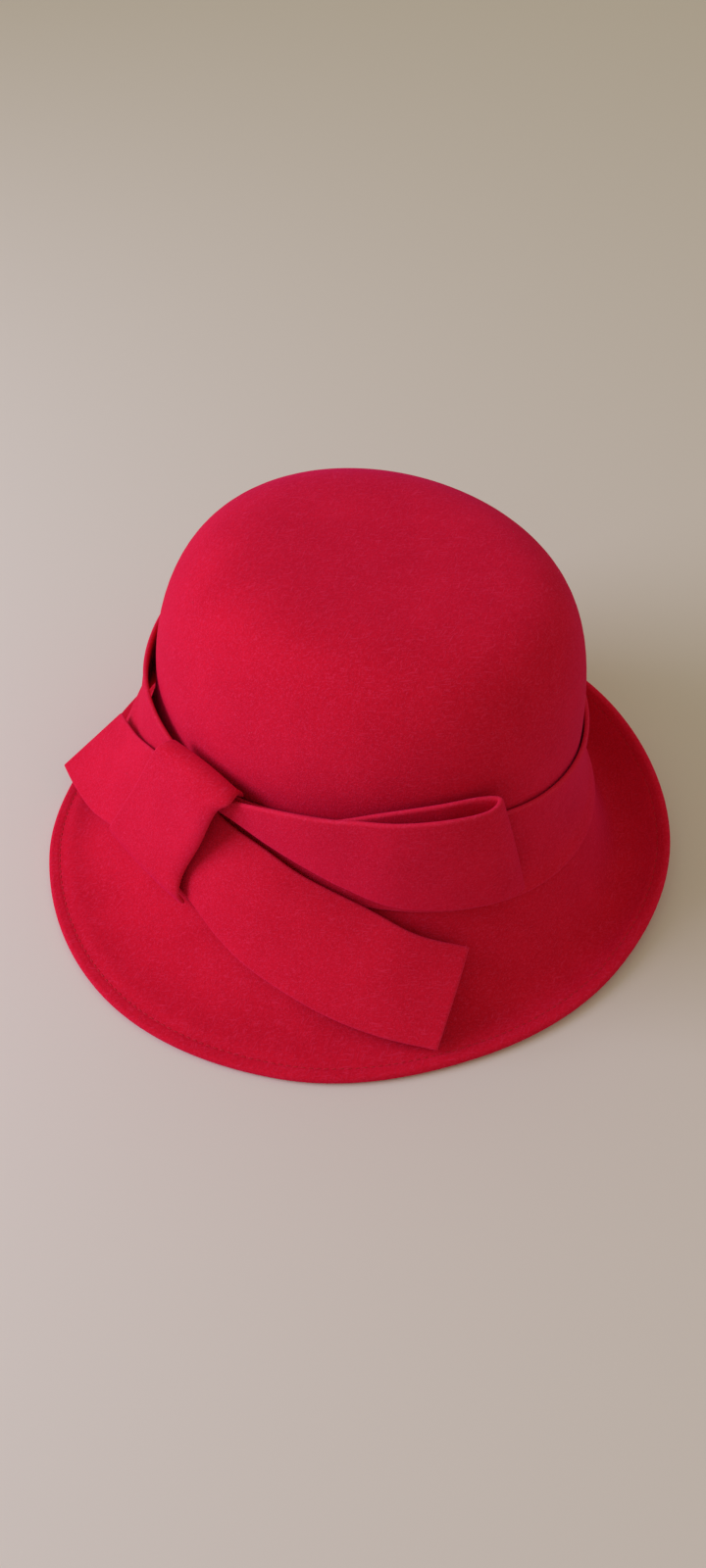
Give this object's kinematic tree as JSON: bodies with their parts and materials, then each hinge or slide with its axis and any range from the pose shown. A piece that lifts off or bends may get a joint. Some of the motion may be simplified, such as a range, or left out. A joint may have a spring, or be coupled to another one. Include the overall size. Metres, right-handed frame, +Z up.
{
  "type": "cloche hat",
  "caption": "Wool felt cloche hat with a rounded crown, a drooping brim turned up on one side, a felt band and a flat side bow of one loop and two tails.",
  "frame": {"origin": "middle of the whole hat's outline seen from above, on the surface it rests on", "axes": "+Z up through the crown, -Y towards the front of the hat, -X towards the bow on the wearer's right side"},
  "size_m": [0.2826, 0.2916, 0.155],
  "materials": {
    "hat_felt": "matt blocked wool felt",
    "band_felt": "matt wool felt strip",
    "bow_felt": "matt wool felt strip with cut edges"
  },
  "bodies": {
    "root": {"felt_body": "hat_felt", "band": "band_felt", "right_tail": "bow_felt", "left_tail": "bow_felt", "bow_loop": "bow_felt", "bow_wrap": "bow_felt"}
  },
  "joints": []
}
